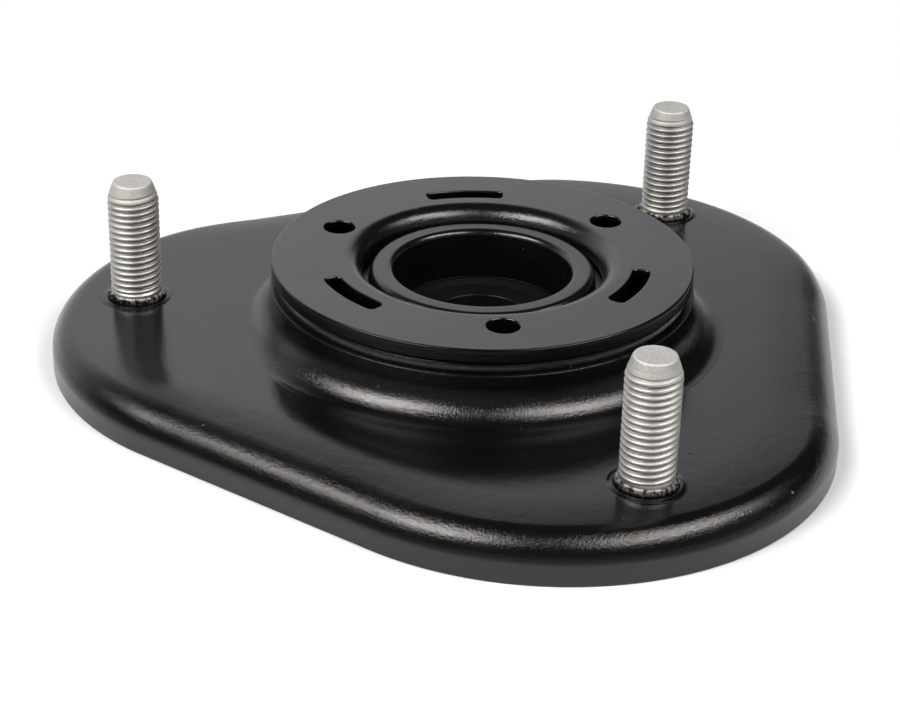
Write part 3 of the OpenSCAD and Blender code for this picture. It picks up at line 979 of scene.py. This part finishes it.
def neck_mesh(material):
    """Pressed-in necks with their ring of serrations and the heads under the plate."""
    underside = -SHEET_T - HEAD_T
    core = rounded([(0.0, underside, 0), (HEAD_R, underside, HEAD_ROUND),
                    (HEAD_R, -SHEET_T, HEAD_TOP_ROUND), (NECK_R, -SHEET_T, 0),
                    (NECK_R, NECK_H, NECK_ROUND), (0.0, NECK_H, 0)])
    t = ShapeTree("neck_serrations")
    teeth = t.size("Tooth Count", TOOTH_COUNT, "NodeSocketInt")
    tooth_r = t.size("Tooth Size", TOOTH_R * MM)
    tip_r = t.size("Tooth Tip Radius", TOOTH_TIP_R * MM)
    height = t.size("Tooth Height", (SHEET_T + NECK_H - TOOTH_SINK) * MM)
    prism = t.node("GeometryNodeMeshCylinder", {"Vertices": 3, "Radius": tooth_r, "Depth": height})
    middle = t.math("SUBTRACT", t.math("MULTIPLY", height, 0.5), SHEET_T * MM)
    place = t.vector(t.math("SUBTRACT", tip_r, tooth_r), 0.0, middle)
    tooth = t.node("GeometryNodeTransform", {"Geometry": prism.outputs["Mesh"],
                                             "Translation": place})
    points, turn, _ = t.turns(teeth)
    neck = t.realized(t.joined([t.copies(points, tooth.outputs[0], turn)]))
    places, _ = t.stud_places()
    t.finish(t.copies(places, neck), material)
    made = t.mesh("stud_necks", turned("neck_core", core, NECK_SIDES))
    made.set_sharp_from_angle(angle=math.radians(SHARP_ANGLE))
    return made


def disc_mesh(material):
    """Disc with the walls of its holes and slots set round it."""
    linings = [vent_lining(*vent) for vent in VENTS]
    t = ShapeTree("disc_vents")
    points, turn, _ = t.turns(t.size("Vent Count", STUD_COUNT, "NodeSocketInt"))
    walls = []
    for number, lining in enumerate(linings):
        bpy.context.scene.collection.objects.link(lining)
        wall = t.size(f"Vent Wall {number + 1}", lining, "NodeSocketObject")
        shape = t.node("GeometryNodeObjectInfo", {"Object": wall}).outputs["Geometry"]
        walls.append(t.copies(points, shape, turn))
    t.finish(t.joined(walls), material, VENT_SEAM)
    made = t.mesh("hub_disc", disc_blank())
    for lining in linings:
        # The wall's object goes with its mesh
        bpy.data.meshes.remove(lining.data)
    bm = bmesh.new()
    bm.from_mesh(made)
    bmesh.ops.recalc_face_normals(bm, faces=bm.faces)
    bm.to_mesh(made)
    bm.free()
    return smooth_by_area(made)


# Sections of the turned rings

def shell_section():
    inner, floor = SHELL_R - SHELL_T, SHELL_BOTTOM + SHELL_T
    return rounded([(FLANGE_R, DISC_UNDER, 1.8), (FLANGE_R, HUB_H, CUT_ROUND), (SHELL_R, HUB_H, 0),
                    (SHELL_R, SHELL_BOTTOM, 3.4), (SHELL_FOOT_R, SHELL_BOTTOM, CUT_ROUND),
                    (SHELL_FOOT_R, floor, CUT_ROUND), (inner, floor, 1.0),
                    (inner, DISC_UNDER, 2.3)])


def housing_section():
    return rounded([(WELL_R, LIP_TOP, 1.2), (WELL_R, BEARING_TOP, SOFT_ROUND),
                    (SEAT_R, BEARING_TOP, 0), (SEAT_R, HOUSING_BOTTOM, CUT_ROUND),
                    (HOUSING_R, HOUSING_BOTTOM, 0.4), (HOUSING_R, HOUSING_FLANGE_UNDER, 0),
                    (HOUSING_FLANGE_R, HOUSING_FLANGE_UNDER, 0.2),
                    (HOUSING_FLANGE_R, GROOVE_FLOOR, 0.2), (LIP_R, GROOVE_FLOOR, 0.35),
                    (LIP_R, LIP_TOP, 1.4)])


def rubber_section():
    """Rubber ring, hollowed above and below, stepped under the housing's flange."""
    inner, outer = HOUSING_R + RUBBER_GAP, SHELL_R - SHELL_T - RUBBER_GAP
    middle = (inner + outer) / 2
    reach = math.degrees(math.acos((outer - middle) / HOLLOW_R))
    step = HOUSING_FLANGE_UNDER - RUBBER_GAP
    step_turn = math.degrees(math.asin((UPPER_HOLLOW_Z - step) / HOLLOW_R))
    upper = arc((middle, UPPER_HOLLOW_Z), HOLLOW_R, -180 + step_turn, -reach, 24)
    lower = arc((middle, LOWER_HOLLOW_Z), HOLLOW_R, reach, 180 - reach, 24)
    return [(inner, step)] + upper + lower


def inner_race_section():
    half = math.degrees(math.acos((TRACK_AXIS_R - INNER_LAND_R) / TRACK_R))
    track = arc((TRACK_AXIS_R, BALL_Z), TRACK_R, 180 + half, 180 - half, TRACK_STEPS)
    bore = rounded([(INNER_LAND_R, BEARING_TOP, SOFT_ROUND), (BORE_R, BEARING_TOP, RACE_ROUND),
                    (BORE_R, BEARING_BOTTOM, RACE_ROUND),
                    (INNER_LAND_R, BEARING_BOTTOM, SOFT_ROUND)])
    return bore + track


def outer_race_section():
    half = math.degrees(math.acos((OUTER_LAND_R - TRACK_AXIS_R) / TRACK_R))
    track = arc((TRACK_AXIS_R, BALL_Z), TRACK_R, -half, half, TRACK_STEPS)
    low, high = BALL_Z - SEAL_REACH[0], BALL_Z + SEAL_REACH[0]
    rest = rounded([(OUTER_LAND_R, high, FINE_ROUND), (SEAL_SEAT_R, high, FINE_ROUND),
                    (SEAL_SEAT_R, BEARING_TOP, FINE_ROUND), (RACE_R, BEARING_TOP, RACE_ROUND),
                    (RACE_R, BEARING_BOTTOM, RACE_ROUND),
                    (SEAL_SEAT_R, BEARING_BOTTOM, FINE_ROUND), (SEAL_SEAT_R, low, FINE_ROUND),
                    (OUTER_LAND_R, low, FINE_ROUND)])
    return track + rest


def seal_section(side):
    near, far = sorted(BALL_Z + side * reach for reach in SEAL_REACH)
    return rounded([(SEAL_IN_R, near, SOFT_ROUND), (SEAL_OUT_R, near, FINE_ROUND),
                    (SEAL_OUT_R, far, FINE_ROUND), (SEAL_IN_R, far, SOFT_ROUND)])


def retainer_section():
    return rounded([(r, z, SOFT_ROUND) for r, z in (
        (RETAINER_IN_R, RETAINER_BOTTOM), (RACE_R, RETAINER_BOTTOM),
        (RACE_R, BEARING_BOTTOM), (RETAINER_IN_R, BEARING_BOTTOM))])


def build_pieces():
    plate_black = black_paint("plate_black", 0.15, 0.2, 1.51, 0.0, chips=True, sheen=PLATE_SHEEN)
    disc_black = black_paint("disc_black", 0.17, 0.23, 1.65, DISC_TOP, cut_edge=DISC_R)
    shell_black = black_paint("shell_black", 0.18, 0.24, 1.6, DISC_UNDER)
    housing_black = black_paint("housing_black", 0.18, 0.24, 1.6, LIP_TOP, sheen=HOUSING_SHEEN)
    rubber, races, thread, necks = moulded_rubber(), bearing_steel(), stud_steel(), serrated_steel()
    keep_piece("plate_pressing", plate_mesh(), plate_black, "mount", "black_paint", "base_plate")
    keep_piece("hub_disc", disc_mesh(disc_black), disc_black, "mount", "black_paint", "top_disc")
    keep_piece("stud_threads", thread_mesh(thread), thread, "mount", "stud_steel",
               "stud_1", "stud_2", "stud_3")
    keep_piece("stud_necks", neck_mesh(necks), necks, "mount", "stud_steel")
    rings = [
        ("shell_ring", shell_section(), shell_black, "mount", "black_paint", "outer_shell"),
        ("housing_ring", housing_section(), housing_black, "mount", "black_paint",
         "bearing_housing"),
        ("rubber_ring", rubber_section(), rubber, "mount", "rubber", "insulator"),
        ("race_outer", outer_race_section(), races, "mount", "bearing_steel", "outer_race"),
        ("race_inner", inner_race_section(), races, "rod_race", "bearing_steel", "inner_race"),
        ("seal_above", seal_section(1), rubber, "mount", "rubber", "upper_seal"),
        ("seal_below", seal_section(-1), rubber, "mount", "rubber", "lower_seal"),
        ("keeper_ring", retainer_section(), plain_steel(), "mount", "plain_steel",
         "bearing_retainer"),
    ]
    for name, section, material, body, slot, node in rings:
        keep_piece(name, turned(name, section), material, body, slot, node)
    cage = cage_metal()
    for name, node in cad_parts.items():
        if name.startswith("ball_"):
            node.data.materials.clear()
            node.data.materials.append(cage if name == "ball_cage" else races)


def make_stage():
    bpy.ops.mesh.primitive_plane_add(size=FLOOR_SIZE, location=(0.0, 0.0, -SKIRT_H * MM))
    floor = bpy.context.object
    floor.name = "studio_floor"
    floor.data.materials.append(studio_floor())


make_camera()
make_world()
for softbox in SOFTBOXES:
    make_softbox(*softbox)
make_stage()
build_pieces()
bpy.context.scene.view_settings.view_transform = "Standard"
